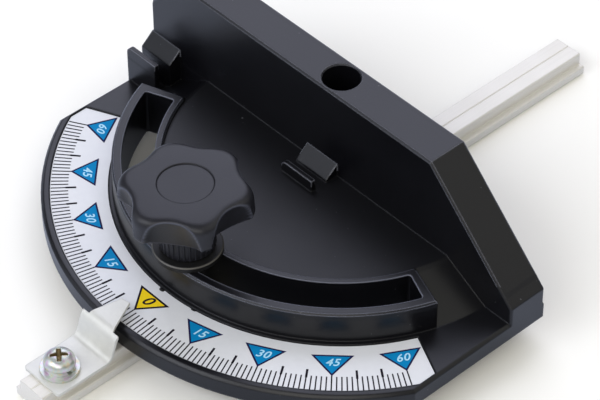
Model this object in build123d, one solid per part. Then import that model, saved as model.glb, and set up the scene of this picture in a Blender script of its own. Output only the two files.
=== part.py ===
from build123d import *
import math
import os

# Miter gauge: a moulded protractor head with a fence, turning on an aluminium guide bar.
# Millimetres. X runs along the fence, Y along the bar towards its far end, Z up.
# The origin lies under the middle of the bar, on its underside.

# Guide bar, a T-shaped aluminium extrusion
BAR_WIDTH = 16.0
BAR_HEIGHT = 8.0
RAIL_WIDTH = 11.4
FLANGE_HEIGHT = 3.5
RAIL_ROOT_RADIUS = 0.5
BAR_CORNER = 0.4
GROOVE_WIDTH = 0.7
GROOVE_DEPTH = 0.25
BAR_REACH = 112.5
BAR_END_MARGIN = 4.0

# Arc slot and the raised wall round it
SLOT_RADIUS = 68.2
SLOT_WIDTH = 11.2
SLOT_HALF_ANGLE = 67.6
SLOT_CORNER = 1.0
RING_OUTER_WALL = 3.3
RING_INNER_WALL = 2.5
RING_END_WALL = 3.3
RING_HEIGHT = 18.5
RING_EDGE = 0.6
FOOT_LEDGE = 1.5

# Half-round base of the head
SCALE_BAND = 20.0
SIDE_CUT = 13.5
BASE_THICKNESS = 6.6
BASE_EDGE = 1.0
PLATEAU_HEIGHT = 16.8
FLANK_INSET = 1.1
RIM_WIDTH = 2.9
SIDE_RIM = 1.4
RUNNING_GAP = 0.1

# Fence
FENCE_THICKNESS = 15.5
FENCE_HEIGHT = 51.6
RIGHT_CHAMFER = 38.6
LEFT_CHAMFER = 16.0
FENCE_SLOPE = 45.0
LEFT_CORNER_RADIUS = 4.0
FENCE_EDGE = 0.7

# Moulded shell under the head
WALL = 2.5
TOP_WALL = 3.0
RIB = 1.6
RIB_STEP = 30.0
HALF_ROUND = 89.0
RIB_RING_RADIUS = 37.0
FENCE_RIB_PITCH = 29.3

# Storage clips moulded on the back of the fence
CLIP_WIDTH = 14.8
CLIP_BLOCK_DEPTH = 5.1
CLIP_RAMP_DROP = 4.4
CLIP_BLOCK_HEIGHT = 21.9
CLIP_GAP = 4.9
CLIP_WALL = 1.8
CLIP_WALL_HEIGHT = 21.1
CLIP_CORNER_RADIUS = 2.2
CENTRE_CLIP_X = -0.9

# Pivot: a shouldered screw at the bottom of a deep well in the fence
WELL_DIAMETER = 13.0
WELL_RIM = 0.4
PIVOT_WEB = 5.0
SHOULDER_DIAMETER = 8.0
PIVOT_THREAD = 6.0
PIVOT_HEAD_DIAMETER = 10.5
PIVOT_HEAD_HEIGHT = 4.0
PIVOT_SOCKET = 5.0
PIVOT_SOCKET_DEPTH = 2.4
PIVOT_WASHER_DIAMETER = 12.0
PIVOT_WASHER_THICKNESS = 1.0
SPRING_WASHER_THICKNESS = 1.4
SPRING_WASHER_GAP = 1.2
SPRING_WASHER_SLANT = 25.0
THREAD_CLEARANCE = 0.05
WASHER_CLEARANCE = 0.15
THREAD_END_GAP = 0.5

# Printed scale
LABEL_THICKNESS = 0.3
LABEL_SUNK = 0.5
LABEL_CLEARANCE = 0.25
LABEL_HALF_ANGLE = 65.0
INK_THICKNESS = 0.05
TICK_EDGE = 0.2
TICK_LENGTH = 5.9
LONG_TICK_LENGTH = 8.6
TICK_WIDTH = 0.3
LONG_TICK_WIDTH = 0.45
TICK_STEP = 1
LONG_TICK_STEP = 5
MARK_STEP = 15
SCALE_LIMIT = 60
MARK_TIP_INSET = 6.8
MARK_ROOT_INSET = 4.15
MARK_HALF_ANGLE = 37.0

# Pointer, folded from zinc-plated sheet, and its screw
SHEET = 1.0
POINTER_WIDTH = 17.4
POINTER_STANDOFF = 7.2
POINTER_FOOT = 22.3
POINTER_RISE = 9.5
POINTER_LEAN = 3.2
POINTER_BEND = 3.0
POINTER_CORNER = 1.2
TONGUE_ROOT_HALF_WIDTH = 6.0
TONGUE_END_WIDTH = 3.2
TONGUE_END_SLANT = 0.6
TONGUE_OVERLAP = 5.0
POINTER_SCREW_INSET = 7.9
POINTER_THREAD = 5.0
POINTER_HEAD_DIAMETER = 10.6
POINTER_HEAD_HEIGHT = 4.1
POINTER_HEAD_DOME = 1.6
POINTER_WASHER_DIAMETER = 13.2
POINTER_WASHER_THICKNESS = 1.2
LOCK_WASHER_DIAMETER = 10.0
LOCK_WASHER_THICKNESS = 1.6
CROSS_SPAN = 6.2
CROSS_WIDTH = 1.4
CROSS_DEPTH = 2.2
CROSS_TURN = 54.0

# Clamping knob
KNOB_THREAD = 6.0
KNOB_TURN = 5.5
KNOB_RADIUS = 22.0
KNOB_HEIGHT = 26.8
KNOB_SKIRT_HEIGHT = 10.2
KNOB_DRAFT = 4.5
KNOB_EDGE = 2.4
HUB_DIAMETER = 18.0
HUB_HEIGHT = 8.5
LOBES = 6
LOBE_DEPTH = 3.2
LOBE_EASE = 6.5
DIP_RADIUS = 12.0
FLUTE_RADIUS = 11.5
FLUTE_LEAN = 27.2
FLUTE_TOP_BAND = 3.0
CAP_DIAMETER = 18.4
CAP_THICKNESS = 1.4
CAP_SUNK = 0.4
CAP_CLEARANCE = 0.1
BOLT_HEAD_FLATS = 10.0
BOLT_HEAD_HEIGHT = 4.0
KNOB_WASHER_DIAMETER = 23.6
KNOB_WASHER_THICKNESS = 2.0
KNOB_WASHER_EDGE = 0.5

# Heights that follow from the sizes above
head_floor = BAR_HEIGHT + RUNNING_GAP
base_top = head_floor + BASE_THICKNESS
plateau_top = head_floor + PLATEAU_HEIGHT
ring_top = head_floor + RING_HEIGHT
fence_top = head_floor + FENCE_HEIGHT
label_top = base_top - LABEL_SUNK
label_floor = label_top - LABEL_THICKNESS
web_top = head_floor + PIVOT_WEB
pivot_spring_top = web_top + SPRING_WASHER_THICKNESS
pivot_head_seat = pivot_spring_top + PIVOT_WASHER_THICKNESS
pointer_seat = BAR_HEIGHT + SHEET
lock_seat = pointer_seat + POINTER_WASHER_THICKNESS
screw_seat = lock_seat + LOCK_WASHER_THICKNESS

# Radii round the pivot that follow from the sizes above
slot_inner = SLOT_RADIUS - SLOT_WIDTH / 2
slot_outer = SLOT_RADIUS + SLOT_WIDTH / 2
ring_inner = slot_inner - RING_INNER_WALL
ring_outer = slot_outer + RING_OUTER_WALL
ring_half_angle = SLOT_HALF_ANGLE + math.degrees(RING_END_WALL / SLOT_RADIUS)
flank_top_radius = ring_inner - FLANK_INSET
recess_inner = ring_outer + FOOT_LEDGE
recess_outer = recess_inner + SCALE_BAND
base_radius = recess_outer + RIM_WIDTH
half_width = base_radius - SIDE_CUT
recess_side = half_width - SIDE_RIM
label_inner = recess_inner + LABEL_CLEARANCE
label_outer = recess_outer - LABEL_CLEARANCE
label_side = recess_side - LABEL_CLEARANCE
recess_half_angle = LABEL_HALF_ANGLE + math.degrees(LABEL_CLEARANCE / label_inner)
mark_tip = label_outer - MARK_TIP_INSET
mark_root = label_inner + MARK_ROOT_INSET
mark_half_base = (mark_tip - mark_root) * math.tan(math.radians(MARK_HALF_ANGLE))
fence_face = FENCE_THICKNESS / 2

# Places along the bar, measured from the pivot towards the near end
pointer_bend = base_radius + POINTER_STANDOFF
pointer_near_edge = pointer_bend + POINTER_FOOT
pointer_screw_place = pointer_near_edge - POINTER_SCREW_INSET
bar_near_reach = pointer_near_edge + BAR_END_MARGIN
bar_length = bar_near_reach + BAR_REACH

# The pivot's place in the part's own frame, whose origin is at the middle of the bar
pivot_y = bar_length / 2 - BAR_REACH
knob_y = pivot_y - SLOT_RADIUS
pointer_screw_y = pivot_y - pointer_screw_place

# Everything round the pivot is cut back to this box: it is as large as the head
reach = 2 * base_radius


def block(x0, x1, y0, y1, z0, z1):
    """A box given by its limits."""
    place = Pos((x0 + x1) / 2, (y0 + y1) / 2, (z0 + z1) / 2)
    return place * Box(x1 - x0, y1 - y0, z1 - z0)


def disc(diameter, z0, z1):
    """An upright cylinder on the Z axis between two heights."""
    return Pos(0, 0, (z0 + z1) / 2) * Cylinder(diameter / 2, z1 - z0)


def washer(outer, inner, z0, z1):
    """A flat ring on the Z axis."""
    return disc(outer, z0, z1) - disc(inner, z0 - 1, z1 + 1)


def spring_washer(outer, inner, z0, z1):
    """A ring split by a slanting cut."""
    height = z1 - z0
    middle = (outer + inner) / 4
    slit = Box(outer, SPRING_WASHER_GAP, 4 * height)
    slit = Pos(middle, 0, (z0 + z1) / 2) * Rot(SPRING_WASHER_SLANT, 0, 0) * slit
    return washer(outer, inner, z0, z1) - slit


def sector(inner, outer, half_angle):
    """A ring sector, symmetrical about the direction towards the near end of the bar."""
    start = -90 - half_angle
    outside = CenterArc((0, 0), outer, start, 2 * half_angle)
    inside = CenterArc((0, 0), inner, start, 2 * half_angle)
    ends = [Line(outside @ 0, inside @ 0), Line(outside @ 1, inside @ 1)]
    return make_face([outside, inside] + ends)


def upright(face, z0, z1):
    """A flat outline raised between two heights."""
    return extrude(Pos(0, 0, z0) * face, z1 - z0)


def sector_block(inner, outer, half_angle, z0, z1):
    """A ring sector raised between two heights."""
    return upright(sector(inner, outer, half_angle), z0, z1)


def turned(points):
    """A solid turned round the Z axis from an outline of (radius, height) points."""
    return revolve(make_face(Plane.XZ * Polyline(*points, close=True)), Axis.Z)


def spoke(angle, inner, outer, width, z0, z1):
    """A straight bar that points away from the pivot, at an angle from the zero mark."""
    bar = block(-width / 2, width / 2, -outer, -inner, z0, z1)
    return Rot(0, 0, angle) * bar


def edges_at(shape, height):
    """The edges of a shape that lie at one height."""
    return [e for e in shape.edges() if abs(e.center().Z - height) < 0.01]


def long_edges(shape, side, height):
    """The edges along Y that lie at a height, at the same distance to the left and to the right."""
    lengthwise = [e for e in edges_at(shape, height) if e in shape.edges().filter_by(Axis.Y)]
    return [e for e in lengthwise if abs(abs(e.center().X) - side) < 0.01]


def across_corners(flats):
    """The radius of a hexagon's corners, from the size across its flats."""
    return flats / math.sqrt(3)


def make_bar():
    """The extrusion: a narrow rail on a wider flange, with a fine centre groove and three tapped holes."""
    half_flange = BAR_WIDTH / 2
    half_rail = RAIL_WIDTH / 2
    half_groove = GROOVE_WIDTH / 2
    outline = Polyline(
        (-half_flange, 0),
        (half_flange, 0),
        (half_flange, FLANGE_HEIGHT),
        (half_rail, FLANGE_HEIGHT),
        (half_rail, BAR_HEIGHT),
        (half_groove, BAR_HEIGHT),
        (0, BAR_HEIGHT - GROOVE_DEPTH),
        (-half_groove, BAR_HEIGHT),
        (-half_rail, BAR_HEIGHT),
        (-half_rail, FLANGE_HEIGHT),
        (-half_flange, FLANGE_HEIGHT),
        close=True,
    )
    section = make_face(Plane.XZ * outline)
    bar = extrude(section, bar_length / 2, both=True)
    bar = fillet(long_edges(bar, half_rail, FLANGE_HEIGHT), RAIL_ROOT_RADIUS)
    corners = long_edges(bar, half_rail, BAR_HEIGHT)
    corners += long_edges(bar, half_flange, FLANGE_HEIGHT)
    corners += long_edges(bar, half_flange, 0)
    bar = chamfer(corners, BAR_CORNER)
    holes = [
        (pivot_y, PIVOT_THREAD),
        (knob_y, KNOB_THREAD),
        (pointer_screw_y, POINTER_THREAD),
    ]
    for y, thread in holes:
        bar -= Pos(0, y, 0) * disc(thread + 2 * THREAD_CLEARANCE, -1, BAR_HEIGHT + 1)
    return bar


def make_fence():
    """The upright fence: two sloping corners at the top, of different sizes, and eased edges."""
    fence = fence_block(0, fence_face, fence_top)
    sides = long_edges(fence, half_width, fence_top - LEFT_CHAMFER)
    left_corner = [e for e in sides if e.center().X < 0]
    fence = fillet(left_corner, LEFT_CORNER_RADIUS)
    outer = [e for e in fence.edges() if e.center().Z > head_floor + 0.1 and not on_both_faces(e)]
    return chamfer(outer, FENCE_EDGE)


def fence_block(inset, half_depth, top):
    """The fence's outline, drawn in by an inset, as a plain block."""
    slope_inset = inset * math.tan(math.radians(FENCE_SLOPE / 2))
    half = half_width - inset
    points = [
        (-half, head_floor),
        (half, head_floor),
        (half, top - RIGHT_CHAMFER - slope_inset + inset),
        (half_width - RIGHT_CHAMFER - slope_inset, top),
        (LEFT_CHAMFER - half_width + slope_inset, top),
        (-half, top - LEFT_CHAMFER - slope_inset + inset),
    ]
    return extrude(make_face(Plane.XZ * Polyline(*points, close=True)), half_depth, both=True)


def on_both_faces(edge):
    """True for an edge that crosses the fence from face to face."""
    return abs(edge.center().Y) < 0.01


def make_clip(x0, x1, foot):
    """A moulded clip: a block with a lead-in ramp against the fence, a gap, and a thin upright wall."""
    block_front = fence_face + CLIP_BLOCK_DEPTH
    wall_back = block_front + CLIP_GAP
    wall_front = wall_back + CLIP_WALL
    ramp_top = head_floor + CLIP_BLOCK_HEIGHT
    profile = [
        (-fence_face + WALL / 2, foot),
        (-fence_face + WALL / 2, ramp_top),
        (-fence_face, ramp_top),
        (-block_front, ramp_top - CLIP_RAMP_DROP),
        (-block_front, foot),
    ]
    ramp = extrude(make_face(Plane.YZ * Polyline(*profile, close=True)), x1 - x0)
    wall = block(x0, x1, -wall_front, -wall_back, foot, head_floor + CLIP_WALL_HEIGHT)
    top_corners = wall.edges().filter_by(Axis.Y).sort_by(Axis.Z)[-2:]
    wall = fillet(top_corners.sort_by(Axis.X)[0], CLIP_CORNER_RADIUS)
    return [Pos(x0, 0, 0) * ramp, wall]


def make_underside():
    """The hollows of the moulded shell: cells between radial ribs, and the inside of the fence."""
    behind_fence = block(-reach, reach, -reach, -fence_face, 0, fence_top)
    inside_sides = block(WALL - half_width, half_width - WALL, -reach, reach, 0, fence_top)
    below = head_floor - 1
    boss = disc(WELL_DIAMETER + 2 * WALL, 0, fence_top)
    last_rib = math.ceil(HALF_ROUND / RIB_STEP) - 1
    rib_angles = [RIB_STEP * k for k in range(-last_rib, last_rib + 1)]
    ribs = [spoke(angle, 0, base_radius, RIB, below, fence_top) for angle in rib_angles]

    outer_cells = sector_block(ring_outer, base_radius - WALL, HALF_ROUND, below, base_top - TOP_WALL)
    inner_cells = sector_block(RIB_RING_RADIUS + RIB, ring_inner, HALF_ROUND, below, plateau_top - WALL)
    core_cells = sector_block(WELL_DIAMETER / 2, RIB_RING_RADIUS, HALF_ROUND, below, plateau_top - WALL)
    cells = (outer_cells + inner_cells + core_cells) & behind_fence & inside_sides
    cells -= ribs
    cells -= boss

    slope = (plateau_top - base_top) / (ring_outer - flank_top_radius)
    high = plateau_top - TOP_WALL - slope * (slot_inner - flank_top_radius)
    low = plateau_top - TOP_WALL - slope * (slot_outer - flank_top_radius)
    flank_profile = [(slot_inner, below), (slot_outer, below), (slot_outer, low), (slot_inner, high)]
    flank_cells = turned(flank_profile) & behind_fence
    flank_cells -= sector_block(slot_inner - 1, slot_outer + 1, ring_half_angle, 0, fence_top)

    half_hollow = half_width - WALL
    fence_hollow = fence_block(WALL, fence_face - WALL, fence_top - WALL)
    fence_hollow += block(-half_hollow, half_hollow, WALL - fence_face, fence_face - WALL, below, base_top)
    count = int(half_width / FENCE_RIB_PITCH)
    for k in range(1, count + 1):
        for side in (-1, 1):
            x = side * k * FENCE_RIB_PITCH
            if abs(x) < half_hollow - RIB:
                fence_hollow -= block(x - RIB / 2, x + RIB / 2, -reach, reach, 0, fence_top + 1)
    fence_hollow -= boss
    return [cells, flank_cells, fence_hollow]


def make_head():
    """The head, moulded in one piece: base, plateau with sloping flanks, slotted ring, fence and clips."""
    cut_back = block(-half_width, half_width, -reach, fence_face, 0, fence_top)
    base = disc(2 * base_radius, head_floor, base_top) & cut_back
    rim = [e for e in edges_at(base, base_top) if e.center().Y < fence_face - 0.01]
    base = chamfer(rim, BASE_EDGE)

    flanks = turned(
        [
            (0, head_floor),
            (ring_outer, head_floor),
            (ring_outer, base_top),
            (flank_top_radius, plateau_top),
            (0, plateau_top),
        ]
    )
    plateau = sector_block(1, slot_inner, ring_half_angle, head_floor, plateau_top)
    ring = sector_block(ring_inner, ring_outer, ring_half_angle, head_floor, ring_top)
    ring = chamfer(edges_at(ring, ring_top), RING_EDGE)

    left_end = -half_width
    clips = make_clip(left_end, left_end + CLIP_WIDTH, base_top - BASE_EDGE)
    clips += make_clip(CENTRE_CLIP_X - CLIP_WIDTH / 2, CENTRE_CLIP_X + CLIP_WIDTH / 2, plateau_top - WALL / 2)

    head = base + (flanks & cut_back) + plateau + ring + make_fence() + clips

    slot = sector_block(slot_inner, slot_outer, SLOT_HALF_ANGLE, 0, fence_top)
    slot = fillet(slot.edges().filter_by(Axis.Z), SLOT_CORNER)
    recess = sector_block(recess_inner, recess_outer, recess_half_angle, label_floor, fence_top)
    recess &= block(-recess_side, recess_side, -reach, 0, 0, base_top + 1)
    well = disc(WELL_DIAMETER, web_top, fence_top + 1)
    rim_cone = Cone(WELL_DIAMETER / 2, WELL_DIAMETER / 2 + WELL_RIM, WELL_RIM)
    shoulder_hole = disc(SHOULDER_DIAMETER + 2 * THREAD_CLEARANCE, 0, web_top + 1)
    head -= make_underside()
    head -= [slot, recess, well, shoulder_hole, Pos(0, 0, fence_top - WELL_RIM / 2) * rim_cone]
    return head


def make_label():
    """The scale, a printed sheet let into the recess."""
    label = sector_block(label_inner, label_outer, LABEL_HALF_ANGLE, label_floor, label_top)
    return label & block(-label_side, label_side, -reach, 0, 0, label_top + 1)


def make_mark(angle):
    """One triangle of the scale, its tip outwards."""
    points = [(0, -mark_tip), (mark_half_base, -mark_root), (-mark_half_base, -mark_root)]
    face = make_face(Polyline(*points, close=True))
    return Rot(0, 0, angle) * upright(face, label_top, label_top + INK_THICKNESS)


def make_ticks():
    """The degree lines, longer and bolder every few degrees, and stopped short at the triangles."""
    ticks = []
    tick_outer = label_outer - TICK_EDGE
    for angle in range(-SCALE_LIMIT, SCALE_LIMIT + 1, TICK_STEP):
        if angle % MARK_STEP == 0:
            inner = mark_tip
            width = TICK_WIDTH
        elif angle % LONG_TICK_STEP == 0:
            inner = tick_outer - LONG_TICK_LENGTH
            width = LONG_TICK_WIDTH
        else:
            inner = tick_outer - TICK_LENGTH
            width = TICK_WIDTH
        ticks.append(spoke(angle, inner, tick_outer, width, label_top, label_top + INK_THICKNESS))
    return ticks


def make_pivot_screw():
    """A shouldered screw: threaded end, plain shoulder for the head to turn on, and a socket head."""
    seat = pivot_head_seat
    screw = disc(PIVOT_THREAD, THREAD_END_GAP, BAR_HEIGHT)
    screw += disc(SHOULDER_DIAMETER, BAR_HEIGHT, seat)
    screw += disc(PIVOT_HEAD_DIAMETER, seat, seat + PIVOT_HEAD_HEIGHT)
    socket = RegularPolygon(across_corners(PIVOT_SOCKET), 6)
    top = seat + PIVOT_HEAD_HEIGHT
    return screw - upright(socket, top - PIVOT_SOCKET_DEPTH, top + 1)


def make_pointer():
    """The pointer: a foot on the bar, a leaning riser, and a tapered tongue over the scale."""
    foot = BAR_HEIGHT
    tongue = foot + POINTER_RISE
    crest = POINTER_LEAN - pointer_bend
    tip = TONGUE_OVERLAP - label_outer
    lean = math.atan2(POINTER_RISE, POINTER_LEAN)
    shift = SHEET * math.tan(lean / 2)
    underside = FilletPolyline(
        (-pointer_near_edge, foot),
        (-pointer_bend, foot),
        (crest, tongue),
        (tip, tongue),
        radius=[POINTER_BEND + SHEET, POINTER_BEND],
    )
    topside = FilletPolyline(
        (-pointer_near_edge, foot + SHEET),
        (-pointer_bend - shift, foot + SHEET),
        (crest - shift, tongue + SHEET),
        (tip, tongue + SHEET),
        radius=[POINTER_BEND, POINTER_BEND + SHEET],
    )
    ends = [Line(underside @ 0, topside @ 0), Line(underside @ 1, topside @ 1)]
    side = Plane.YZ * make_face([underside, topside] + ends)
    folded = extrude(side, POINTER_WIDTH / 2, both=True)

    half = POINTER_WIDTH / 2
    plan = make_face(
        Polyline(
            (-half, -pointer_near_edge),
            (half, -pointer_near_edge),
            (half, crest),
            (TONGUE_ROOT_HALF_WIDTH, crest),
            (0, tip),
            (-TONGUE_END_WIDTH, tip - TONGUE_END_SLANT),
            (-TONGUE_ROOT_HALF_WIDTH, crest),
            (-half, crest),
            close=True,
        )
    )
    foot_corners = plan.vertices().sort_by(Axis.Y)[:2]
    plan = fillet(foot_corners, POINTER_CORNER)
    pointer = folded & upright(plan, 0, fence_top)
    hole = disc(POINTER_THREAD + 2 * WASHER_CLEARANCE, 0, foot + 2 * SHEET)
    return pointer - Pos(0, -pointer_screw_place, 0) * hole


def make_pan_screw(seat, bottom):
    """A pan-head screw with a cross recess, its head bearing at the seat height."""
    top = seat + POINTER_HEAD_HEIGHT
    radius = POINTER_HEAD_DIAMETER / 2
    crown = [(radius, top - POINTER_HEAD_DOME), (radius - POINTER_HEAD_DOME, top)]
    head = turned([(0, seat), (radius, seat)] + crown + [(0, top)])
    screw = head + disc(POINTER_THREAD, bottom, seat)
    cross = Box(CROSS_SPAN, CROSS_WIDTH, 2 * CROSS_DEPTH)
    cross += Box(CROSS_WIDTH, CROSS_SPAN, 2 * CROSS_DEPTH)
    return screw - Pos(0, 0, top) * Rot(0, 0, CROSS_TURN) * cross


def lobed_outline(radius):
    """The grip's outline seen from above: a circle with shallow dips between its lobes."""
    outline = Circle(radius)
    for k in range(LOBES):
        outline -= Rot(0, 0, 360 * k / LOBES) * Pos(radius - LOBE_DEPTH + DIP_RADIUS, 0) * Circle(DIP_RADIUS)
    return fillet(outline.vertices(), LOBE_EASE)


def make_grip():
    """The star grip: a lobed head on a plain hub, with leaning scoops cut up to just below its rim."""
    foot = ring_top + KNOB_WASHER_THICKNESS
    top = foot + KNOB_HEIGHT
    skirt = top - KNOB_SKIRT_HEIGHT
    hub = HUB_DIAMETER / 2
    neck = foot + HUB_HEIGHT
    head = extrude(Pos(0, 0, top) * lobed_outline(KNOB_RADIUS), top - neck, (0, 0, -1), taper=-KNOB_DRAFT)
    head = chamfer(edges_at(head, top), KNOB_EDGE)
    widest = KNOB_RADIUS + KNOB_SKIRT_HEIGHT * math.tan(math.radians(KNOB_DRAFT))
    head &= turned([(0, neck), (hub, neck), (widest, skirt), (widest, top), (0, top)])

    lean = math.radians(FLUTE_LEAN)
    flute_place = KNOB_RADIUS - LOBE_DEPTH + FLUTE_RADIUS / math.cos(lean)
    flute = Rot(0, FLUTE_LEAN, 0) * Cylinder(FLUTE_RADIUS, 3 * KNOB_HEIGHT)
    flute = Pos(flute_place, 0, top - FLUTE_TOP_BAND) * flute
    head -= [Rot(0, 0, 360 * k / LOBES) * flute for k in range(LOBES)]
    body = head + disc(HUB_DIAMETER, foot, neck)

    seat = top - CAP_SUNK - CAP_THICKNESS
    body -= disc(CAP_DIAMETER + 2 * CAP_CLEARANCE, seat, top + 1)
    pocket = RegularPolygon(across_corners(BOLT_HEAD_FLATS + 2 * CAP_CLEARANCE), 6)
    body -= upright(pocket, seat - BOLT_HEAD_HEIGHT, top)
    body -= disc(KNOB_THREAD + 2 * THREAD_CLEARANCE, foot - 1, top)
    return body


def make_knob_bolt():
    """The hexagon bolt pressed into the grip, which reaches down through the slot into the bar."""
    top = ring_top + KNOB_WASHER_THICKNESS + KNOB_HEIGHT - CAP_SUNK - CAP_THICKNESS
    head = upright(RegularPolygon(across_corners(BOLT_HEAD_FLATS), 6), top - BOLT_HEAD_HEIGHT, top)
    return head + disc(KNOB_THREAD, THREAD_END_GAP, top - BOLT_HEAD_HEIGHT)


def make_cap():
    """The round cover pressed into the top of the grip over the bolt's head."""
    top = ring_top + KNOB_WASHER_THICKNESS + KNOB_HEIGHT - CAP_SUNK
    return disc(CAP_DIAMETER, top - CAP_THICKNESS, top)


def make_knob_washer():
    """The broad washer that the knob presses on the ring, its upper rim eased."""
    ring = washer(
        KNOB_WASHER_DIAMETER,
        KNOB_THREAD + 2 * WASHER_CLEARANCE,
        ring_top,
        ring_top + KNOB_WASHER_THICKNESS,
    )
    rim = max(edges_at(ring, ring_top + KNOB_WASHER_THICKNESS), key=lambda edge: edge.length)
    return chamfer(rim, KNOB_WASHER_EDGE)


at_pivot = Pos(0, pivot_y, 0)
at_knob = Pos(0, knob_y, 0) * Rot(0, 0, KNOB_TURN)
at_pointer_screw = Pos(0, pointer_screw_y, 0)

shoulder_bore = SHOULDER_DIAMETER + 2 * WASHER_CLEARANCE
pointer_bore = POINTER_THREAD + 2 * WASHER_CLEARANCE
pivot_spring = spring_washer(PIVOT_WASHER_DIAMETER, shoulder_bore, web_top, pivot_spring_top)
pivot_flat = washer(PIVOT_WASHER_DIAMETER, shoulder_bore, pivot_spring_top, pivot_head_seat)
pointer_flat = washer(POINTER_WASHER_DIAMETER, pointer_bore, pointer_seat, lock_seat)
pointer_lock = spring_washer(LOCK_WASHER_DIAMETER, pointer_bore, lock_seat, screw_seat)
blue_angles = [a for a in range(-SCALE_LIMIT, SCALE_LIMIT + 1, MARK_STEP) if a != 0]

pieces = {
    "miter_bar": make_bar(),
    "protractor_head": at_pivot * make_head(),
    "scale_label": at_pivot * make_label(),
    "scale_zero_mark": at_pivot * make_mark(0),
    "scale_angle_marks": Compound(children=[at_pivot * make_mark(a) for a in blue_angles]),
    "scale_degree_lines": Compound(children=[at_pivot * tick for tick in make_ticks()]),
    "pivot_screw": at_pivot * make_pivot_screw(),
    "pivot_spring_washer": at_pivot * pivot_spring,
    "pivot_washer": at_pivot * pivot_flat,
    "pointer": at_pivot * make_pointer(),
    "pointer_washer": at_pointer_screw * pointer_flat,
    "pointer_lock_washer": at_pointer_screw * pointer_lock,
    "pointer_screw": at_pointer_screw * make_pan_screw(screw_seat, THREAD_END_GAP),
    "knob_washer": at_knob * make_knob_washer(),
    "knob_grip": at_knob * make_grip(),
    "knob_bolt": at_knob * make_knob_bolt(),
    "knob_cap": at_knob * make_cap(),
}

os.makedirs("parts", exist_ok=True)
for name, shape in pieces.items():
    export_step(shape, os.path.join("parts", name + ".step"))
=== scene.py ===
import bpy
import math
import numpy as np
from mathutils import Matrix, Vector


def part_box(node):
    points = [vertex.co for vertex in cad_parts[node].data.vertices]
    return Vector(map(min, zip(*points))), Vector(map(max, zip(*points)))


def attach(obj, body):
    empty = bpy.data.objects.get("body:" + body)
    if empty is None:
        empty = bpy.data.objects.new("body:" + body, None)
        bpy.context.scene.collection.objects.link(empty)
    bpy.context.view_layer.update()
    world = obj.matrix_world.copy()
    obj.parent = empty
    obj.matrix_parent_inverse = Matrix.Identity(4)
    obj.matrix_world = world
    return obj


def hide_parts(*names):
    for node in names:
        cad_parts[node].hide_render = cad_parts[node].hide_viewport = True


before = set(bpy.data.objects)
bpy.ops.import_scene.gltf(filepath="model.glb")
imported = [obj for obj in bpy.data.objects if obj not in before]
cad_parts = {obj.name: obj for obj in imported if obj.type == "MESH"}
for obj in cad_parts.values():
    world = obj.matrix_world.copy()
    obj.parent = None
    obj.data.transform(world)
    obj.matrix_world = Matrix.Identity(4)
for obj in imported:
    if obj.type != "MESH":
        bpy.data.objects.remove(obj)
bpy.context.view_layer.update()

# The photographer's camera: a long lens about a metre away, looking down on the gauge
# from its near right-hand corner. It stands where a camera fitted to the photograph stood.
camera_stand = (0.52854, -0.49296, 0.69404)
camera_heading = 47.4296
camera_dip = 43.3669
camera_roll = -0.17
lens = bpy.data.cameras.new("photo_camera")
lens.sensor_width = 36.0
lens.lens = 176.57
lens.clip_start = 0.05
lens.clip_end = 50.0
camera = bpy.data.objects.new("photo_camera", lens)
bpy.context.scene.collection.objects.link(camera)
bpy.context.scene.camera = camera
heading = Matrix.Rotation(math.radians(camera_heading), 4, "Z")
tilt = Matrix.Rotation(math.radians(90 - camera_dip), 4, "X")
roll = Matrix.Rotation(math.radians(camera_roll), 4, "Z")
camera.matrix_world = Matrix.Translation(camera_stand) @ heading @ tilt @ roll


# The studio: a pale sheet of paper under the gauge and even light from all round it,
# with one broad softbox high behind its left end, which the upward faces mirror.
class Wire:
    """A socket of a node tree, so that a pattern is written as an expression on its wires."""

    def __init__(self, tree, socket=None):
        self.tree = tree
        self.socket = socket

    def node(self, kind, sockets=None, out=0, stops=None, **settings):
        """Adds a node: its settings first, then the values or wires of its sockets."""
        made = self.tree.nodes.new(kind)
        for name, value in settings.items():
            setattr(made, name, value)
        if stops:
            ramp = made.color_ramp
            while len(ramp.elements) < len(stops):
                ramp.elements.new(1.0)
            for element, (position, shade) in zip(ramp.elements, stops):
                element.position = position
                element.color = (*shade, 1.0)
        for name, value in (sockets or {}).items():
            if isinstance(value, Wire):
                self.tree.links.new(value.socket, made.inputs[name])
            else:
                made.inputs[name].default_value = value
        return Wire(self.tree, made.outputs[out] if made.outputs else None)

    def beside(self, out):
        """Another output of the node that this wire comes from."""
        return Wire(self.tree, self.socket.node.outputs[out])

    def maths(self, operation, first, second=0.0):
        return self.node("ShaderNodeMath", {0: first, 1: second}, operation=operation)

    def __add__(self, other):
        return self.maths("ADD", self, other)

    def __radd__(self, other):
        return self.maths("ADD", other, self)

    def __sub__(self, other):
        return self.maths("SUBTRACT", self, other)

    def __rsub__(self, other):
        return self.maths("SUBTRACT", other, self)

    def __mul__(self, other):
        return self.maths("MULTIPLY", self, other)

    def __rmul__(self, other):
        return self.maths("MULTIPLY", other, self)

    def __truediv__(self, other):
        return self.maths("DIVIDE", self, other)

    def __mod__(self, other):
        return self.maths("MODULO", self, other)

    def above(self, limit):
        return self.maths("GREATER_THAN", self, limit)

    def below(self, limit):
        return self.maths("LESS_THAN", self, limit)

    def rising(self, foot, full):
        """0 where this wire is at foot, 1 where it is at full, and straight between them."""
        return self.node("ShaderNodeMapRange", {"Value": self, 1: foot, 2: full, 3: 0.0, 4: 1.0})

    def between(self, low, high):
        """The colour low where this wire is 0, and the colour high where it is 1."""
        return self.node("ShaderNodeMix", {0: self, 6: low, 7: high}, out=2, data_type="RGBA")

    def into(self, shader, socket):
        self.tree.links.new(self.socket, shader.inputs[socket])


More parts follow.
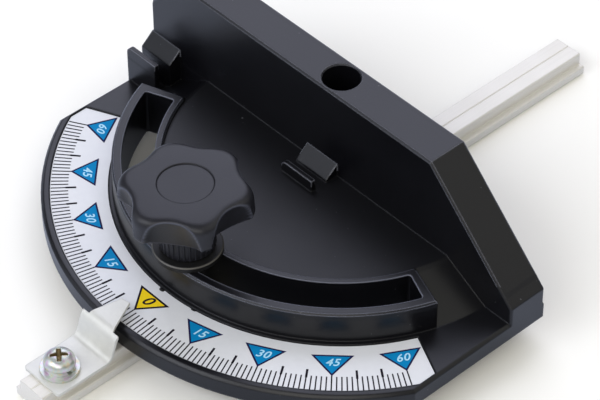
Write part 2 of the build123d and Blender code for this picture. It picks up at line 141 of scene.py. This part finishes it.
scene = bpy.context.scene
scene.view_settings.view_transform = "Standard"
room_glow = 0.2
glow_kept_from_gloss = 0.12
world = bpy.data.worlds.new("studio")
world.use_nodes = True
scene.world = world
sky = world.node_tree.nodes["Background"]
sky.inputs["Color"].default_value = (1.0, 0.99, 0.97, 1.0)
glossy_ray = Wire(world.node_tree).node("ShaderNodeLightPath", out="Is Glossy Ray")
(room_glow - glow_kept_from_gloss * glossy_ray).into(sky, "Strength")

for name, way, away, side, glow, tone in (
    ("softbox", (-0.50, 0.50, 0.70), 1.7, 1.5, 2.2, (0.90, 0.93, 1.14)),
    ("front_softbox", (0.50, -0.62, 0.60), 1.9, 1.2, 2.6, (1.0, 0.98, 0.95)),
    ("edge_light", (-0.13, -0.71, 0.69), 1.9, 1.0, 4.0, (0.94, 0.97, 1.06)),
    ("right_reflector", (0.56, 0.40, 0.72), 1.8, 1.8, 0.85, (1.0, 0.99, 0.93)),
    ("left_reflector", (-0.53, -0.69, 0.49), 1.8, 1.5, 1.0, (0.90, 0.95, 1.10)),
):
    light = bpy.data.lights.new(name, "AREA")
    light.shape = "SQUARE"
    light.size = side
    light.energy = glow * math.pi * side**2
    light.color = tone
    lamp = bpy.data.objects.new(name, light)
    scene.collection.objects.link(lamp)
    lamp.location = Vector(way).normalized() * away
    lamp.rotation_euler = Vector(way).to_track_quat("Z", "Y").to_euler()

paper_reach = 6.0
paper_drop = 0.0002
paper_glow = 0.015
corners = ((-1, -1), (1, -1), (1, 1), (-1, 1))
paper_corners = [(x * paper_reach, y * paper_reach, -paper_drop) for x, y in corners]
paper_mesh = bpy.data.meshes.new("paper")
paper_mesh.from_pydata(paper_corners, [], [(0, 1, 2, 3)])
paper = bpy.data.objects.new("paper", paper_mesh)
scene.collection.objects.link(paper)
paper_finish = bpy.data.materials.new("white_paper")
paper_finish.use_nodes = True
paper_finish.node_tree.nodes.clear()
start = Wire(paper_finish.node_tree)
paper_light = start.node("ShaderNodeBsdfDiffuse", {"Color": (0.8, 0.8, 0.8, 1)})
ray = start.node("ShaderNodeLightPath", out="Is Camera Ray")
# Reflections see the paper bluer than the camera does: a painted bluish tint in what the faces mirror.
paper_tone = ray.between((0.76, 0.82, 0.95, 1), (0.97, 0.955, 0.89, 1))
paper_shade = start.node("ShaderNodeBsdfDiffuse", {"Color": paper_tone})
paper_white = start.node("ShaderNodeEmission", {"Color": (1, 1, 1, 1), "Strength": paper_glow})
paper_seen = start.node("ShaderNodeAddShader", {0: paper_shade, 1: paper_white})
seen = ray + ray.beside("Is Glossy Ray") + ray.beside("Is Transmission Ray")
paper_mix = start.node("ShaderNodeMixShader", {0: seen, 1: paper_light, 2: paper_seen})
start.node("ShaderNodeOutputMaterial", {"Surface": paper_mix})
paper_mesh.materials.append(paper_finish)


# Guide bar: a T-section of extruded aluminium, sawn to length and left with the fine
# lengthwise streaks of the die. It lies in the saw table's slot and carries the rest.
def finish(name, **plain):
    """A new material, its shader with these plain values, and a wire of places on the piece in metres."""
    material = bpy.data.materials.new(name)
    material.use_nodes = True
    shader = material.node_tree.nodes["Principled BSDF"]
    for socket, value in plain.items():
        shader.inputs[socket.replace("_", " ")].default_value = value
    place = Wire(material.node_tree).node("ShaderNodeTexCoord", out="Object")
    return material, shader, place


def mottle(place, size, detail=2.0, stretch=(1, 1, 1)):
    """Soft noise from 0 to 1 with blots of about this size in metres, drawn out by stretch."""
    moved = place.node("ShaderNodeMapping", {0: place, 3: tuple(1 / (size * s) for s in stretch)})
    return place.node("ShaderNodeTexNoise", {"Vector": moved, "Scale": 1.0, "Detail": detail}, out=0)


def bumped(shader, height, depth, soft_edge=0.0):
    """Relief of this depth in metres on a piece whose edges look eased by soft_edge."""
    sockets = {"Height": height, "Distance": depth}
    if soft_edge:
        sockets["Normal"] = height.node("ShaderNodeBevel", {"Radius": soft_edge}, samples=6)
    height.node("ShaderNodeBump", sockets).into(shader, "Normal")


def dress(node, material):
    """Gives a CAD node its finish."""
    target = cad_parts[node]
    target.data.materials.clear()
    target.data.materials.append(material)


bar_finish, bar_shader, place = finish("extruded_aluminium", Metallic=0.35, Specular_IOR_Level=0.4)
streaks = mottle(place, 0.0004, 3.0, (1, 120, 1))
clouds = mottle(place, 0.012, 3.0)
streaks.between((0.71, 0.685, 0.62, 1), (0.81, 0.785, 0.715, 1)).into(bar_shader, "Base Color")
(0.42 + 0.14 * clouds + 0.10 * streaks).into(bar_shader, "Roughness")
bumped(bar_shader, streaks, 0.00002, 0.0003)
dress("miter_bar", bar_finish)


# Protractor head: one moulding in black filled plastic with a fine spark-eroded grain,
# carrying the fence, the clips, the scale's recess and the raised ring round its arc slot.
# Its upper arrises and those of the ring carry a painted highlight, and its faces hold a little pale dust.
def worn_edges(place, reach):
    """1 along a piece's edges, within this reach in metres of them, and 0 on its faces."""
    eased = place.node("ShaderNodeBevel", {"Radius": reach}, samples=6)
    own = place.node("ShaderNodeNewGeometry", out="Normal")
    same = place.node("ShaderNodeVectorMath", {0: eased, 1: own}, out="Value", operation="DOT_PRODUCT")
    cosine_on_faces = 0.98
    cosine_on_edges = 0.86
    return same.rising(cosine_on_faces, cosine_on_edges)


plateau_low = 0.0240
plateau_high = 0.0252
ring_foot = 0.0254
ring_full = 0.0258
ring_high = 0.0269
ring_far = -0.010
above_ring = 0.0270
head_finish, head_shader, place = finish("black_moulding", Specular_IOR_Level=0.38)
grain = mottle(place, 0.0005, 2.0)
blotches = mottle(place, 0.018, 4.0)
dust = mottle(place, 0.0012, 1.0).rising(0.77, 0.82)
height = place.node("ShaderNodeSeparateXYZ", {0: place}, out="Z")
ring_face = height.rising(ring_foot, ring_full) * height.below(ring_high)
ring_face = ring_face * height.beside("Y").below(ring_far)
# Painted highlight along the edges: those above the ring are lightened, and the ring's own edges lighter and
# bluer still.
edge_highlight = worn_edges(place, 0.0009)
body_black = blotches.between((0.002, 0.002, 0.003, 1), (0.0045, 0.0045, 0.006, 1))
black_with_edge_highlight = (edge_highlight * height.above(above_ring)).between(body_black, (0.15, 0.155, 0.18, 1))
black_with_ring_highlight = (ring_face * edge_highlight).between(black_with_edge_highlight, (0.20, 0.21, 0.26, 1))
dust.between(black_with_ring_highlight, (0.07, 0.07, 0.075, 1)).into(head_shader, "Base Color")
plateau_face = height.above(plateau_low) * height.below(plateau_high)
(0.25 + 0.08 * blotches + 0.05 * grain + 0.12 * plateau_face).into(head_shader, "Roughness")
bumped(head_shader, grain, 0.00002, 0.0009)
dress("protractor_head", head_finish)


# Scale: a printed sheet of white film stuck in the recess of the head's rim,
# with the marks screen-printed on it in blue, yellow and black ink.
label_finish, label_shader, place = finish("white_film", Specular_IOR_Level=0.45)
film = mottle(place, 0.0025, 3.0)
film.between((0.69, 0.70, 0.72, 1), (0.75, 0.76, 0.775, 1)).into(label_shader, "Base Color")
(0.38 + 0.10 * film).into(label_shader, "Roughness")
bumped(label_shader, film, 0.00001)
dress("scale_label", label_finish)


def ink(name, thin, full):
    """Printed ink, a little uneven in its strength."""
    material, shader, place = finish(name, Specular_IOR_Level=0.04)
    cover = mottle(place, 0.0006, 2.0)
    cover.between(thin, full).into(shader, "Base Color")
    (0.50 + 0.10 * cover).into(shader, "Roughness")
    bumped(shader, cover, 0.000004)
    return material


blue_ink = ink("blue_ink", (0.005, 0.235, 0.50, 1), (0.002, 0.20, 0.46, 1))
yellow_ink = ink("yellow_ink", (0.90, 0.66, 0.02, 1), (0.86, 0.60, 0.01, 1))
navy_ink = ink("navy_ink", (0.018, 0.016, 0.075, 1), (0.012, 0.010, 0.05, 1))
black_ink = ink("black_ink", (0.02, 0.015, 0.024, 1), (0.01, 0.008, 0.014, 1))
white_ink = ink("white_ink", (0.38, 0.70, 0.86, 1), (0.48, 0.78, 0.92, 1))
dress("scale_angle_marks", blue_ink)
dress("scale_zero_mark", yellow_ink)

pivot_y = 0.01125
label_top = 0.0142
ink_depth = 0.00005
mark_tip = 0.0915
mark_root = 0.08295
mark_half = 0.00645
mark_line = 0.00060
zero_line = 0.00070
line_outside = 0.35
line_inside = 0.65
line_foot = label_top + ink_depth * 0.5
line_top = label_top + ink_depth * 1.6
blue_angles = [-60, -45, -30, -15, 15, 30, 45, 60]


def shown(name, mesh, material, body):
    """A finished mesh as a piece that rides on a body."""
    mesh.materials.clear()
    mesh.materials.append(material)
    piece = bpy.data.objects.new(name, mesh)
    scene.collection.objects.link(piece)
    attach(piece, body)
    return piece


def outline(angles, line):
    """The printed line round each triangle, a frame of three mitred strips a little above it."""
    points = []
    faces = []
    side = math.hypot(mark_tip - mark_root, mark_half)
    inset = line / mark_half * (side + mark_half) / (mark_tip - mark_root)
    middle = mark_root + mark_half * (mark_tip - mark_root) / (side + mark_half)
    for angle in angles:
        turn = Matrix.Rotation(math.radians(angle), 3, "Z")
        first = len(points)
        for grow in (1 + inset * line_outside, 1 - inset * line_inside):
            for x, r in ((0, mark_tip), (mark_half, mark_root), (-mark_half, mark_root)):
                at = turn @ Vector((x * grow, -(middle + (r - middle) * grow), 0))
                for z in (line_foot, line_top):
                    points.append((at.x, at.y + pivot_y, z))
        for k in range(3):
            a = first + 2 * k
            b = first + 2 * ((k + 1) % 3)
            faces += [(a + 1, b + 1, b + 7, a + 7), (a, a + 6, b + 6, b)]
            faces += [(a, b, b + 1, a + 1), (a + 6, a + 7, b + 7, b + 6)]
    mesh = bpy.data.meshes.new("outline")
    mesh.from_pydata(points, [], faces)
    return mesh


shown("scale_mark_outlines", outline(blue_angles, mark_line), navy_ink, "head")
shown("scale_zero_outline", outline([0], zero_line), black_ink, "head")

number_radius = 0.0861
number_height = 0.0032
zero_radius = number_radius - 0.0001
zero_height = 0.0043
number_z = label_top + ink_depth * 1.7
capital_share = 0.73
slant = 0.28
boldness = 0.022
letter_pitch = 1.08


def printed_number(text, angle, radius, height):
    """A slanted bold number, its top towards the pivot, as a thin mesh on the scale."""
    curve = bpy.data.curves.new("number", "FONT")
    curve.body = text
    curve.size = height / capital_share
    curve.shear = slant
    curve.offset = height * boldness
    curve.extrude = ink_depth * 0.4
    curve.align_x = "CENTER"
    curve.align_y = "CENTER"
    curve.space_character = letter_pitch
    curve.resolution_u = 6
    holder = bpy.data.objects.new("number", curve)
    mesh = bpy.data.meshes.new_from_object(holder)
    bpy.data.objects.remove(holder)
    turn = Matrix.Rotation(math.radians(angle), 4, "Z")
    out = Matrix.Translation((0, -radius, 0))
    mesh.transform(Matrix.Translation((0, pivot_y, number_z)) @ turn @ out)
    return mesh


def joined(name, meshes):
    """Several meshes as one."""
    points = []
    faces = []
    for mesh in meshes:
        first = len(points)
        points += [tuple(v.co) for v in mesh.vertices]
        faces += [tuple(first + k for k in p.vertices) for p in mesh.polygons]
    whole = bpy.data.meshes.new(name)
    whole.from_pydata(points, [], faces)
    return whole


numbers = [printed_number(str(abs(a)), a, number_radius, number_height) for a in blue_angles]
zero = printed_number("0", 0, zero_radius, zero_height)
shown("scale_numbers", joined("numbers", numbers), white_ink, "head")
shown("scale_zero", zero, black_ink, "head")

pip_sides = 24
pip_rows = 6


def pip(angle, radius, long, wide, tall):
    """A small flattened dome standing on the scale, long across the radius, closed underneath."""
    rises = [k * math.pi / (2 * pip_rows) for k in range(pip_rows)]
    around = [k * 2 * math.pi / pip_sides for k in range(pip_sides)]
    points = []
    for rise in rises:
        share = math.cos(rise)
        for a in around:
            points.append((long * share * math.cos(a), wide * share * math.sin(a), tall * math.sin(rise)))
    points.append((0, 0, tall))
    faces = []
    for j in range(pip_rows - 1):
        low = pip_sides * j
        high = pip_sides * (j + 1)
        for k in range(pip_sides):
            after = (k + 1) % pip_sides
            faces.append((low + k, low + after, high + after, high + k))
    last = pip_sides * (pip_rows - 1)
    faces += [(last + k, last + (k + 1) % pip_sides, last + pip_sides) for k in range(pip_sides)]
    faces.append(tuple(reversed(range(pip_sides))))
    mesh = bpy.data.meshes.new("pip")
    mesh.from_pydata(points, [], faces)
    turn = Matrix.Rotation(math.radians(angle), 4, "Z")
    out = Matrix.Translation((0, -radius, 0))
    mesh.transform(Matrix.Translation((0, pivot_y, label_top)) @ turn @ out)
    return mesh


zero_pip = pip(-0.6, 0.0791, long=0.0011, wide=0.0008, tall=0.0004)
side_pip = pip(9.6, 0.0790, long=0.0010, wide=0.0003, tall=0.0003)
shown("scale_pips", joined("pips", [zero_pip, side_pip]), head_finish, "head")


def geometry_tree(name, sizes):
    """An empty geometry tree with a named input for each size, and its wires by name."""
    tree = bpy.data.node_groups.new(name, "GeometryNodeTree")
    tree.interface.new_socket("Geometry", in_out="OUTPUT", socket_type="NodeSocketGeometry")
    tree.interface.new_socket("Geometry", in_out="INPUT", socket_type="NodeSocketGeometry")
    for size, value in sizes.items():
        kind = "NodeSocketInt" if isinstance(value, int) else "NodeSocketFloat"
        tree.interface.new_socket(size, in_out="INPUT", socket_type=kind)
    source = tree.nodes.new("NodeGroupInput")
    return tree, {socket.name: Wire(tree, socket) for socket in source.outputs if socket.name}


def ended(wire, material):
    """The tree's end: real geometry, with its material."""
    real = wire.node("GeometryNodeRealizeInstances", {0: wire})
    coated = real.node("GeometryNodeSetMaterial", {"Geometry": real, "Material": material})
    end = wire.tree.nodes.new("NodeGroupOutput")
    wire.tree.links.new(coated.socket, end.inputs[0])


def grown(name, tree, sizes):
    """What the tree makes of these sizes, as a plain mesh."""
    holder = bpy.data.objects.new(name, bpy.data.meshes.new(name))
    scene.collection.objects.link(holder)
    modifier = holder.modifiers.new("grow", "NODES")
    modifier.node_group = tree
    for socket in tree.interface.items_tree:
        if socket.in_out == "INPUT" and socket.name in sizes:
            modifier[socket.identifier] = sizes[socket.name]
    depsgraph = bpy.context.evaluated_depsgraph_get()
    mesh = bpy.data.meshes.new_from_object(holder.evaluated_get(depsgraph))
    bpy.data.objects.remove(holder)
    return mesh


mark_every = 15
bold_every = 5
line_sizes = {
    "Lines": 121,
    "Step": math.radians(1),
    "Outer radius": 0.0981,
    "Line width": 0.00042,
    "Bold width": 0.00074,
    "Line length": 0.0059,
    "Mark line length": 0.0066,
    "Bold start": 0.0050,
    "Bold length": 0.0036,
    "Ink depth": ink_depth,
}
line_tree, size = geometry_tree("degree_lines", line_sizes)
start = Wire(line_tree)
index = start.node("GeometryNodeInputIndex")
angle = (index - (size["Lines"] - 1) * 0.5) * size["Step"]
at_pivot = {"Count": size["Lines"], "Start Location": (0, pivot_y, label_top), "Offset": (0, 0, 0)}
rail = start.node("GeometryNodeMeshLine", at_pivot)
turn = start.node("ShaderNodeCombineXYZ", {"Z": angle})
groups = []
for every, width, inward, length in (
    (1, size["Line width"], 0.0, size["Line length"]),
    (mark_every, size["Line width"], 0.0, size["Mark line length"]),
    (bold_every, size["Bold width"], size["Bold start"], size["Bold length"]),
):
    line_size = start.node("ShaderNodeCombineXYZ", {"X": width, "Y": length, "Z": size["Ink depth"] * 2})
    one = start.node("GeometryNodeMeshCube", {"Size": line_size})
    middle = length * 0.5 + inward - size["Outer radius"]
    one_place = start.node("ShaderNodeCombineXYZ", {"Y": middle, "Z": size["Ink depth"] * 0.5})
    one = start.node("GeometryNodeTransform", {"Geometry": one, "Translation": one_place})
    chosen = (index % every).below(0.5)
    if every == bold_every:
        chosen = chosen * (index % mark_every).above(0.5)
    spread = {"Points": rail, "Selection": chosen, "Instance": one, "Rotation": turn}
    groups.append(start.node("GeometryNodeInstanceOnPoints", spread))
all_lines = start.node("GeometryNodeJoinGeometry")
for group in groups:
    line_tree.links.new(group.socket, all_lines.socket.node.inputs[0])
ended(all_lines, black_ink)
lines = shown("scale_lines", grown("degree_lines", line_tree, line_sizes), black_ink, "head")
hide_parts("scale_degree_lines")


# Pivot: a black-oxide shouldered screw with a zinc-plated washer and split washer,
# deep in the well of the fence, where it holds the head down on the bar. The same bright
# zinc plate is on the pointer's washers and screw and on the knob's bolt.
oxide_finish, oxide_shader, place = finish("black_oxide", Metallic=0.8)
bloom = mottle(place, 0.0012, 3.0)
bloom.between((0.03, 0.03, 0.034, 1), (0.07, 0.068, 0.066, 1)).into(oxide_shader, "Base Color")
(0.36 + 0.16 * bloom).into(oxide_shader, "Roughness")
bumped(oxide_shader, bloom, 0.00001, 0.0003)
dress("pivot_screw", oxide_finish)

rose = (0.66, 0.50, 0.63)
grey = (0.62, 0.60, 0.61)
green = (0.54, 0.61, 0.54)
straw = (0.66, 0.57, 0.42)
film_stops = [(0.32, rose), (0.42, grey), (0.54, green), (0.66, straw)]
plate_finish, plate_shader, place = finish("bright_zinc_plate", Metallic=0.65)
passivation = mottle(place, 0.0022, 2.0)
tint = passivation.node("ShaderNodeValToRGB", {0: passivation}, stops=film_stops)
# Darker gold inside the cross recess, fully so from half a millimetre deep.
recess = place.node("ShaderNodeAttribute", out="Fac", attribute_name="recess")
recess.between(tint, (0.20, 0.145, 0.06, 1)).into(plate_shader, "Base Color")
(0.26 + 0.16 * passivation).into(plate_shader, "Roughness")
bumped(plate_shader, passivation, 0.00001, 0.0003)
for node in ("pivot_spring_washer", "pivot_washer", "pointer_washer", "pointer_lock_washer", "knob_bolt"):
    dress(node, plate_finish)


# Pointer: 1 mm steel sheet, blanked, folded twice and zinc plated. Its notched tongue
# reaches over the scale, and its foot is held to the bar by a pan-head screw with a
# cross recess, pressed from wire, over a flat washer and a split washer.
sheet_finish, sheet_shader, place = finish("zinc_plated_sheet", Metallic=0.3, Specular_IOR_Level=0.4)
spangle = mottle(place, 0.0035, 3.0)
rolling = mottle(place, 0.0003, 2.0, (1, 40, 1))
spangle.between((0.60, 0.60, 0.56, 1), (0.76, 0.755, 0.70, 1)).into(sheet_shader, "Base Color")
(0.38 + 0.12 * spangle + 0.05 * rolling).into(sheet_shader, "Roughness")
bumped(sheet_shader, rolling, 0.00001, 0.0004)
dress("pointer", sheet_finish)

screw_y = -0.11185
screw_spokes = 144
dome_rings = 44
seat = 11.8
crown = 15.9
head_radius = 5.3
rim_share = 0.22
dome_power = 2.6
dome_rim = seat + (crown - seat) * rim_share
rim_height = 0.25
rim_ease = 0.2
thread_radius = 2.5
tip_radius = 2.0
tip_chamfer = 0.5
thread_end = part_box("pointer_screw")[0][2] * 1000
cross_turns = (54, 54 + 90)
cross_half = 0.95
cross_taper = 0.06
cross_wall = 0.4
cross_reach = 3.2
cross_end = 0.8
cross_depth = 2.1
cross_floor = 0.35
dark_below = 0.5


def within(value):
    """The value, held between 0 and 1."""
    return min(max(value, 0), 1)


def cross_sunk(r, angle):
    """How deep the cross recess is at this place on the screw's head, in millimetres."""
    deepest = 0.0
    for cross_turn in cross_turns:
        along = abs(r * math.cos(angle - math.radians(cross_turn)))
        across = abs(r * math.sin(angle - math.radians(cross_turn)))
        inside = within((cross_half - cross_taper * along - across) / cross_wall)
        inside = inside * within((cross_reach - along) / cross_end)
        wall = inside * inside * (3 - 2 * inside)
        deepest = max(deepest, wall * (cross_depth - cross_floor * along))
    return deepest


dome = []
for k in range(1, dome_rings):
    r = head_radius * k / dome_rings
    dome.append((r, dome_rim + (crown - dome_rim) * (1 - (r / head_radius) ** dome_power) ** 0.5))
shank = [(head_radius, dome_rim), (head_radius, seat + rim_height), (head_radius - rim_ease, seat)]
shank += [(thread_radius, seat), (thread_radius, thread_end + tip_chamfer), (tip_radius, thread_end)]
screw_points = []
screw_recess = []
for spoke in range(screw_spokes):
    angle = spoke * 2 * math.pi / screw_spokes
    sunk = [cross_sunk(r, angle) for r, z in dome] + [0.0] * len(shank)
    for (r, z), deep in zip(dome + shank, sunk):
        point_y = screw_y + r * math.sin(angle) / 1000
        screw_points.append((r * math.cos(angle) / 1000, point_y, (z - deep) / 1000))
        screw_recess.append(min(deep / dark_below, 1.0))
count = len(dome + shank)
screw_faces = []
for spoke in range(screw_spokes):
    a = spoke * count
    b = (spoke + 1) % screw_spokes * count
    screw_faces += [(a + j, a + j + 1, b + j + 1, b + j) for j in range(count - 1)]
screw_points += [(0, screw_y, (crown - cross_depth) / 1000), (0, screw_y, thread_end / 1000)]
screw_recess += [1.0, 0.0]
pole = screw_spokes * count
for k in range(screw_spokes):
    screw_faces.append((pole, k * count, (k + 1) % screw_spokes * count))
for k in range(screw_spokes):
    screw_faces.append((pole + 1, ((k + 1) % screw_spokes + 1) * count - 1, (k + 1) * count - 1))
screw_mesh = bpy.data.meshes.new("screw")
screw_mesh.from_pydata(screw_points, [], screw_faces)
screw_mesh.attributes.new("recess", "FLOAT", "POINT").data.foreach_set("value", screw_recess)
screw_mesh.polygons.foreach_set("use_smooth", [True] * len(screw_mesh.polygons))
screw_mesh.set_sharp_from_angle(angle=math.radians(60))
screw = shown("cross_screw", screw_mesh, plate_finish, "bar")
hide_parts("pointer_screw")


# Clamping knob: a six-lobed grip moulded in dark plastic over a hexagon bolt, with a
# pressed-in cover, and a broad washer between it and the slotted ring. The washer's dark
# tarnish is deepened as painted shade from the knob, and its rim carries a painted highlight.
knob_y = -0.05695
rim_highlight_from = 0.0113
rim_highlight_full = 0.0115
rim_highlight_to = 0.01176
washer_finish, washer_shader, place = finish("washer_plate_with_painted_light", Metallic=0.6)
tarnish = mottle(place, 0.0016, 3.0)
centre = place.node("ShaderNodeVectorMath", {0: place, 1: (0, knob_y, 0)}, operation="SUBTRACT")
flat = place.node("ShaderNodeVectorMath", {0: centre, 1: (1, 1, 0)}, operation="MULTIPLY")
from_bolt = place.node("ShaderNodeVectorMath", {0: flat}, out="Value", operation="LENGTH")
# Painted highlight: a thin bright band round the washer's rim, with painted shade on the rest of the washer.
rim_highlight = from_bolt.rising(rim_highlight_from, rim_highlight_full) * from_bolt.below(rim_highlight_to)
tarnish_and_shade = tarnish.between((0.012, 0.012, 0.014, 1), (0.03, 0.029, 0.027, 1))
rim_highlight.between(tarnish_and_shade, (0.10, 0.095, 0.085, 1)).into(washer_shader, "Base Color")
(0.42 + 0.15 * tarnish).into(washer_shader, "Roughness")
bumped(washer_shader, tarnish, 0.00001, 0.0003)
dress("knob_washer", washer_finish)

knob_finish, knob_shader, place = finish("knob_plastic", Specular_IOR_Level=0.36)
knob_grain = mottle(place, 0.0005, 2.0)
knob_clouds = mottle(place, 0.009, 3.0)
knob_black = knob_clouds.between((0.010, 0.010, 0.013, 1), (0.015, 0.015, 0.019, 1))
# Painted highlight: the scoops' arrises are lightened and blued along a thin band.
arris_highlight = place.node("ShaderNodeAttribute", out="Fac", attribute_name="arris_highlight")
arris_highlight.between(knob_black, (0.075, 0.08, 0.105, 1)).into(knob_shader, "Base Color")
(0.33 + 0.08 * knob_clouds + 0.06 * knob_grain).into(knob_shader, "Roughness")
bumped(knob_shader, knob_grain, 0.000025, 0.0006)
dress("knob_cap", knob_finish)

lobes = 6
lobe_pitch = 2 * math.pi / lobes
lobe_turn = math.radians(5.5)
foot = 28.6
top = 55.4
hub = 9.0
hub_top = 37.1
skirt = 45.6
outline_mean = 20.55
outline_swell = 1.35
draft = 0.08
top_fall = 0.9
grip_reach = 22.8
flute_radius = 11.5
flute_lean = math.radians(22.0)
flute_place = 30.9
top_round = 3.4
skirt_round = 1.8
flute_round = 0.25
hub_round = 0.5
hub_fillet = 0.8
arris_highlight_reach = 0.3


def rounded_most(a, b, blend):
    """The larger of two distances, with the edge where they meet rounded."""
    share = np.clip(0.5 + 0.5 * (a - b) / blend, 0, 1)
    return b + (a - b) * share + blend * share * (1 - share)


def grip_distance(r, z, angle):
    """Distance in millimetres outside the grip: a lobed round with a soft top, a conical underside
    and six leaning scoops that end in an arch below the top, all over a plain hub. The second
    result is 1 on the arrises of the scoops, which carry a painted highlight, and 0 away from them."""
    wall = r - (outline_mean - outline_swell * np.cos(lobes * angle)) - draft * (top - z)
    crown = z - top + top_fall * (r / grip_reach) ** 4
    under_slope = math.atan2(skirt - hub_top, grip_reach - hub)
    under = (hub_top + (r - hub) * math.tan(under_slope) - z) * math.cos(under_slope)
    body = rounded_most(rounded_most(wall, crown, top_round), under, skirt_round)
    off_flute = (angle + lobe_pitch / 2) % lobe_pitch - lobe_pitch / 2
    x = r * np.cos(off_flute) - flute_place
    y = r * np.sin(off_flute)
    along = x * math.sin(flute_lean) + (z - top) * math.cos(flute_lean)
    scoop = flute_radius - np.sqrt(x**2 + y**2 + (z - top) ** 2 - along**2)
    arris_highlight = np.exp(-(((body - scoop) / arris_highlight_reach) ** 2))
    body = rounded_most(body, scoop, flute_round)
    post = rounded_most(r - hub, z - skirt, hub_round)
    return -rounded_most(-body, -post, hub_fillet), arris_highlight


# The grip's skin is found along looks outwards from a circle in its heart, which see all of
# it from the hub's foot to the cover's pocket. Each look is halved until it meets the skin.
turns = 300
look_count = 110
halvings = 40
look_reach = 24.0
heart_r = 6.0
heart_z = 46.0
foot_chamfer = 0.4
cap_radius = 9.22
cap_lip = 0.5
low_look = math.atan2(foot + foot_chamfer - heart_z, hub - heart_r)
high_look = math.atan2(top - heart_z, cap_radius + cap_lip - heart_r)
around = np.arange(turns) * (2 * math.pi / turns)
looks = np.linspace(low_look, high_look, look_count)
angles, slopes = np.meshgrid(around, looks, indexing="ij")
near = np.zeros_like(angles)
far = np.full_like(angles, look_reach)
for _ in range(halvings):
    middle = (near + far) / 2
    distance = grip_distance(heart_r + middle * np.cos(slopes), heart_z + middle * np.sin(slopes), angles)[0]
    far = np.where(distance > 0, middle, far)
    near = np.where(distance > 0, near, middle)
skin_r = heart_r + near * np.cos(slopes)
skin_z = heart_z + near * np.sin(slopes)
skin_arris_highlight = grip_distance(skin_r, skin_z, angles)[1]

cap_seat = top - 1.8
pocket_radius = 6.0
pocket_floor = cap_seat - 4.1
bolt_hole = 3.1
bore_side = [(pocket_radius, pocket_floor), (bolt_hole, pocket_floor)]
bore_side += [(bolt_hole, foot), (hub - foot_chamfer, foot)]
lip_steps = ((0.45, 0.02), (0.20, 0.08), (0.05, 0.22), (0.0, 0.42))
cap_side = [(cap_radius + out, top - down) for out, down in lip_steps]
cap_side += [(cap_radius, cap_seat), (pocket_radius, cap_seat)]
grip_points = []
grip_faces = []
grip_arris_highlight = []
for k in range(turns):
    section = bore_side + list(zip(skin_r[k], skin_z[k])) + cap_side
    for r, z in section:
        point_x = r * math.cos(around[k] + lobe_turn)
        point_y = r * math.sin(around[k] + lobe_turn)
        grip_points.append((point_x / 1000, knob_y + point_y / 1000, z / 1000))
    grip_arris_highlight += [0.0] * len(bore_side) + list(skin_arris_highlight[k]) + [0.0] * len(cap_side)
count = len(bore_side) + look_count + len(cap_side)
for k in range(turns):
    this = k * count
    after = (k + 1) % turns * count
    for j in range(count):
        up = (j + 1) % count
        grip_faces.append((this + j, after + j, after + up, this + up))
grip_mesh = bpy.data.meshes.new("grip")
grip_mesh.from_pydata(grip_points, [], grip_faces)
grip_mesh.attributes.new("arris_highlight", "FLOAT", "POINT").data.foreach_set("value", grip_arris_highlight)
grip_mesh.polygons.foreach_set("use_smooth", [True] * len(grip_mesh.polygons))
grip_mesh.set_sharp_from_angle(angle=math.radians(50))
grip = shown("star_grip", grip_mesh, knob_finish, "knob")
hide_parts("knob_grip")

rib_sizes = {
    "Ribs": 30,
    "Hub radius": hub / 1000,
    "Rib radius": 0.00042,
    "Rib height": 0.0072,
    "Rib foot": (foot + 0.7) / 1000,
}
rib_tree, size = geometry_tree("hub_ribs", rib_sizes)
start = Wire(rib_tree)
index = start.node("GeometryNodeInputIndex")
at_hub = {"Count": size["Ribs"], "Start Location": (0, knob_y, 0), "Offset": (0, 0, 0)}
rail = start.node("GeometryNodeMeshLine", at_hub)
turn = start.node("ShaderNodeCombineXYZ", {"Z": index * (2 * math.pi) / size["Ribs"]})
rod_size = {"Vertices": 8, "Radius": size["Rib radius"], "Depth": size["Rib height"]}
rod = start.node("GeometryNodeMeshCylinder", rod_size)
rod_middle = size["Rib foot"] + size["Rib height"] * 0.5
rod_place = start.node("ShaderNodeCombineXYZ", {"X": size["Hub radius"], "Z": rod_middle})
rod = start.node("GeometryNodeTransform", {"Geometry": rod, "Translation": rod_place})
ribs = start.node("GeometryNodeInstanceOnPoints", {"Points": rail, "Instance": rod, "Rotation": turn})
ended(ribs, knob_finish)
shown("hub_ribs", grown("hub_ribs", rib_tree, rib_sizes), knob_finish, "knob")
